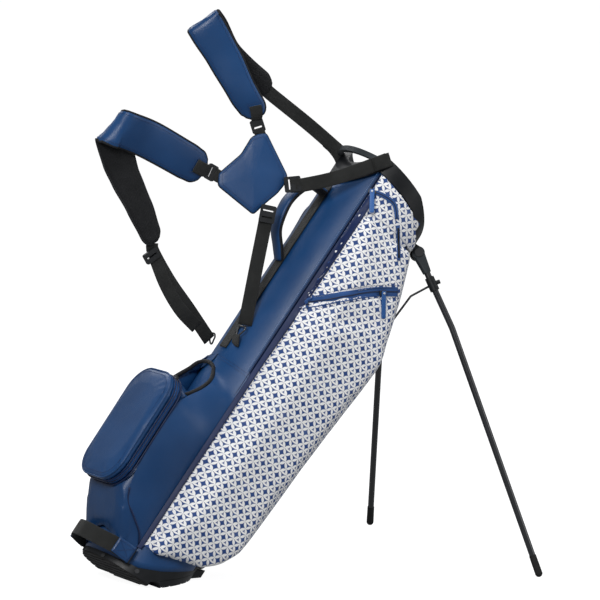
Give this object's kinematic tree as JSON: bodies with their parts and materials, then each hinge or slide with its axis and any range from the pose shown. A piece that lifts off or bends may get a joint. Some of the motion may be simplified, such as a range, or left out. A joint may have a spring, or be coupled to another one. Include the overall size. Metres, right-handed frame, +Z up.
{
  "type": "golf stand bag",
  "caption": "Padded golf bag leaning back on two folding legs, with a ball pocket, bottle pocket, side pockets, zips and double shoulder straps.",
  "frame": {"origin": "on the ground in the bag's mid plane, on the sole of the base flap", "axes": "+Z up, +X from the base towards the feet of the legs, +Y the bag's right-hand side; the bag stands on its open legs"},
  "size_m": [0.7942, 0.6038, 1.0106],
  "materials": {
    "leather_blue": "satin",
    "leather_bright": "satin",
    "fabric_pattern": "woven print",
    "fabric_black": "matte",
    "webbing_black": "woven",
    "zip_black": "coated",
    "moulded_black": "matte",
    "rubber_black": "matte",
    "steel_dark": "gloss",
    "rivet_dark": "satin",
    "aluminium_black": "gloss",
    "rod_grey": "matte"
  },
  "bodies": {
    "root": {"apparel_pocket_left": "fabric_pattern", "apparel_pocket_right": "fabric_pattern", "apparel_zips": "zip_black", "ball_pocket_body": "leather_blue", "ball_pocket_lid": "leather_blue", "ball_pocket_zip": "leather_bright", "base_cup": "moulded_black", "base_rivets": "rivet_dark", "base_tread": "rubber_black", "belly_panel": "fabric_black", "bottle_pocket": "leather_blue", "bottle_rim": "rubber_black", "crossbar_handle": "moulded_black", "cuff_collar": "moulded_black", "divider_cross": "fabric_black", "divider_sheets": "fabric_black", "flap_hinge_pin": "steel_dark", "grab_handle": "leather_blue", "hub_webbings": "webbing_black", "left_side_panel": "leather_blue", "leg_bracket_left": "moulded_black", "leg_bracket_right": "moulded_black", "leg_pivot_pins": "steel_dark", "lift_loop": "webbing_black", "lower_webbing_left": "webbing_black", "right_side_panel": "leather_blue", "rod_guides": "moulded_black", "shoulder_pad_left": "leather_blue", "shoulder_pad_right": "leather_blue", "spine_panel": "leather_blue", "spine_webbing": "webbing_black", "stay_rods": "rod_grey", "strap_adjusters": "moulded_black", "strap_buckles": "moulded_black", "strap_hub": "leather_blue", "strap_rings": "steel_dark", "upper_webbing_right": "webbing_black", "valuables_pocket": "fabric_pattern"},
    "leg_left": {"knuckle_left": "moulded_black", "leg_tube_left": "aluminium_black", "collar_left": "moulded_black", "foot_left": "rubber_black"},
    "leg_right": {"knuckle_right": "moulded_black", "leg_tube_right": "aluminium_black", "collar_right": "moulded_black", "foot_right": "rubber_black"},
    "rods": {"actuator_rods": "steel_dark"},
    "link_left": {"wire_link_left": "steel_dark"},
    "link_right": {"wire_link_right": "steel_dark"},
    "flap": {"base_flap": "moulded_black"},
    "slider_left": {"apparel_slider_left": "steel_dark"},
    "pull_left": {"apparel_pull_left": "leather_blue"},
    "slider_right": {"apparel_slider_right": "steel_dark"},
    "pull_right": {"apparel_pull_right": "leather_blue"},
    "slider_valuables": {"valuables_slider": "steel_dark"},
    "pull_valuables": {"valuables_pull": "leather_blue"},
    "slider_ball_near": {"ball_slider_near": "steel_dark"},
    "slider_ball_far": {"ball_slider_far": "steel_dark"}
  },
  "joints": [
    {"name": "leg_left_swing", "type": "hinge", "parent": "root", "child": "leg_left", "pos_m": [0.50406, -0.065, 0.5687], "axis": [0.3764, 0.8839, -0.2775], "range_deg": [0, 52.5]},
    {"name": "leg_right_swing", "type": "hinge", "parent": "root", "child": "leg_right", "pos_m": [0.50406, 0.065, 0.5687], "axis": [-0.3764, 0.8839, 0.2775], "range_deg": [0, 52.6]},
    {"name": "rods_slide", "type": "slide", "parent": "root", "child": "rods", "axis": [-0.6096, 0, -0.7927], "range_m": [0, 0.03965]},
    {"name": "link_left_swing", "type": "hinge", "parent": "rods", "child": "link_left", "pos_m": [0.38349, -0.034, 0.40601], "axis": [-0.4397, -0.8684, 0.2294], "range_deg": [0, 15.45]},
    {"name": "link_right_swing", "type": "hinge", "parent": "rods", "child": "link_right", "pos_m": [0.38349, 0.034, 0.40601], "axis": [0.4397, -0.8684, -0.2294], "range_deg": [0, 15.45]},
    {"name": "flap_open", "type": "hinge", "parent": "root", "child": "flap", "pos_m": [-0.049, 0, 0.0065], "axis": [0, 1, 0], "range_deg": [0, 16.6]},
    {"name": "apparel_zip_left", "type": "slide", "parent": "root", "child": "slider_left", "axis": [-0.9993, -0.0367, 0.0065], "range_m": [0, 0.06]},
    {"name": "apparel_zip_right", "type": "slide", "parent": "root", "child": "slider_right", "axis": [-0.9993, 0.0367, 0.0065], "range_m": [0, 0.06]},
    {"name": "apparel_pull_left_swing", "type": "hinge", "parent": "slider_left", "child": "pull_left", "pos_m": [0.38847, -0.12832, 0.50898], "axis": [0, 1, 0], "range_deg": [-60, 60]},
    {"name": "apparel_pull_right_swing", "type": "hinge", "parent": "slider_right", "child": "pull_right", "pos_m": [0.38847, 0.12832, 0.50898], "axis": [0, 1, 0], "range_deg": [-60, 60]},
    {"name": "valuables_zip", "type": "hinge", "parent": "root", "child": "slider_valuables", "pos_m": [0.44386, 0, 0.64725], "axis": [0.5934, 0, 0.8049], "range_deg": [0, 50]},
    {"name": "valuables_pull_swing", "type": "hinge", "parent": "slider_valuables", "child": "pull_valuables", "pos_m": [0.39216, -0.08523, 0.68537], "axis": [-0.4844, -0.7986, 0.3571], "range_deg": [-40, 40]},
    {"name": "ball_zip_near", "type": "hinge", "parent": "root", "child": "slider_ball_near", "pos_m": [-0.00407, -0.023, 0.32523], "axis": [0.8049, 0, -0.5934], "range_deg": [0, 75]},
    {"name": "ball_zip_far", "type": "slide", "parent": "root", "child": "slider_ball_far", "axis": [0, 1, 0], "range_m": [0, 0.02]}
  ],
  "couplings": [
    {"joint": "leg_right_swing", "follows": "leg_left_swing", "ratio": 1},
    {"joint": "rods_slide", "follows": "leg_left_swing", "m_per_rad": 0.042944},
    {"joint": "link_left_swing", "follows": "leg_left_swing", "ratio": 0.29237},
    {"joint": "link_right_swing", "follows": "leg_left_swing", "ratio": 0.29237},
    {"joint": "flap_open", "follows": "leg_left_swing", "ratio": 0.31429}
  ]
}
